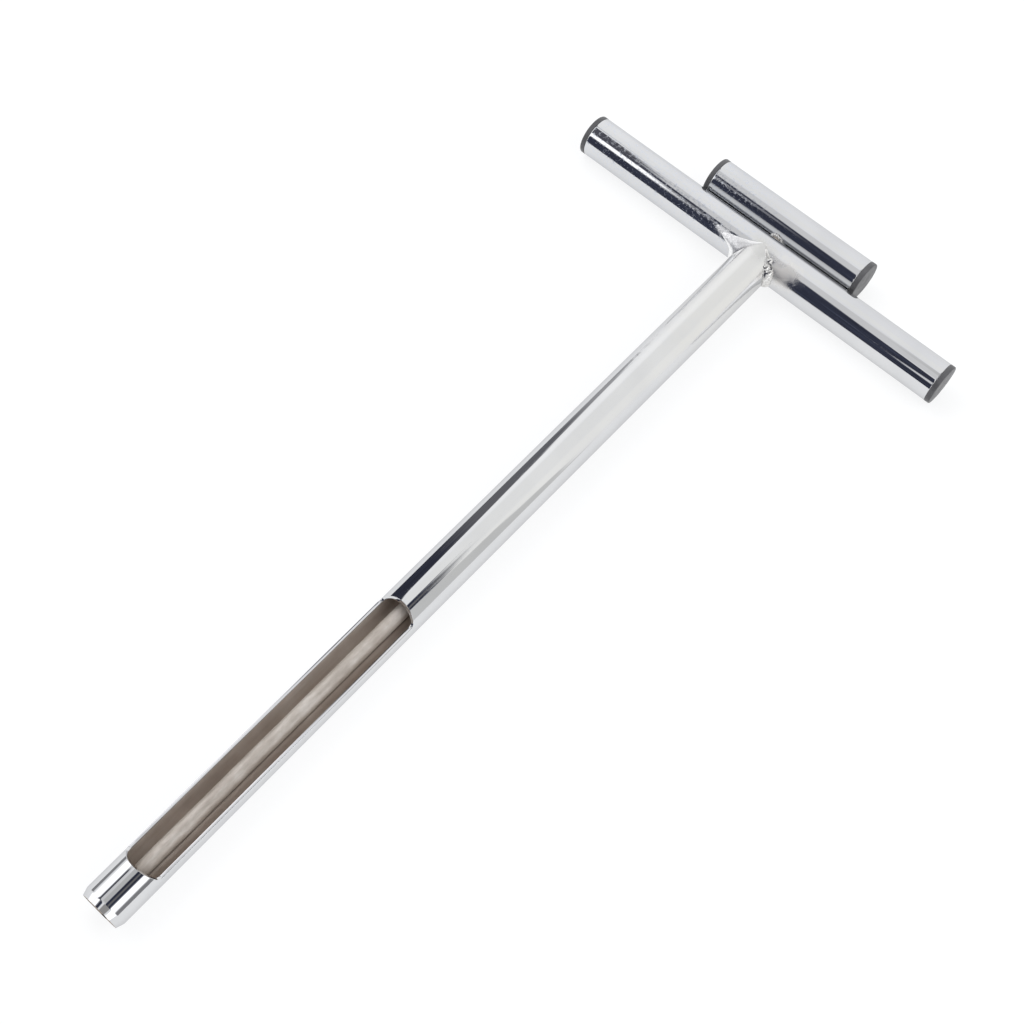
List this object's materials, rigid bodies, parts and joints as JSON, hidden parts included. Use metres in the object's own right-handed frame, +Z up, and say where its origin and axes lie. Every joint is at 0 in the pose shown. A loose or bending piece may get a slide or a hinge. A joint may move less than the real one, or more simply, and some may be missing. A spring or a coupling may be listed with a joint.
{
  "type": "soil core sampler",
  "caption": "T-handled tube sampler: long plated steel tube with an open side window and bevelled cutting edge, and a sliding push-rod ejector with its own short handle.",
  "frame": {"origin": "under the middle of the tool lying flat, on the surface it rests on", "axes": "+Y along the sample tube from the cutting tip to the handles, +X along the cross handle, +Z up, out of the window"},
  "size_m": [0.2608, 0.5562, 0.025],
  "materials": {
    "plated_tube": "bright chrome plate over steel tube, fine scratches",
    "weld_metal": "weld metal under chrome plate, lumpy, partly ground",
    "rod_steel": "bare drawn steel, satin, warm grey",
    "black_plastic": "moulded charcoal plastic, satin, fine grain"
  },
  "bodies": {
    "sampler": {"tube_tip": "plated_tube", "tube_window": "plated_tube", "tube_shaft": "plated_tube", "cross_handle": "plated_tube", "weld_left": "weld_metal", "weld_right": "weld_metal", "grip_cap_left": "black_plastic", "grip_cap_right": "black_plastic"},
    "ejector": {"ejector_rod": "rod_steel", "piston": "rod_steel", "piston_washer": "rod_steel", "piston_nut": "rod_steel"},
    "ejector_grip": {"ejector_handle": "plated_tube", "rod_weld": "weld_metal", "ejector_cap_left": "black_plastic", "ejector_cap_right": "black_plastic"}
  },
  "joints": [
    {"name": "ejector_slide", "type": "slide", "parent": "sampler", "child": "ejector", "axis": [0, 1, 0], "range_m": [0, 0.486]},
    {"name": "handle_swivel", "type": "hinge", "parent": "ejector", "child": "ejector_grip", "pos_m": [0, 0.26565, 0.0125], "axis": [0, 1, 0], "continuous": true}
  ]
}
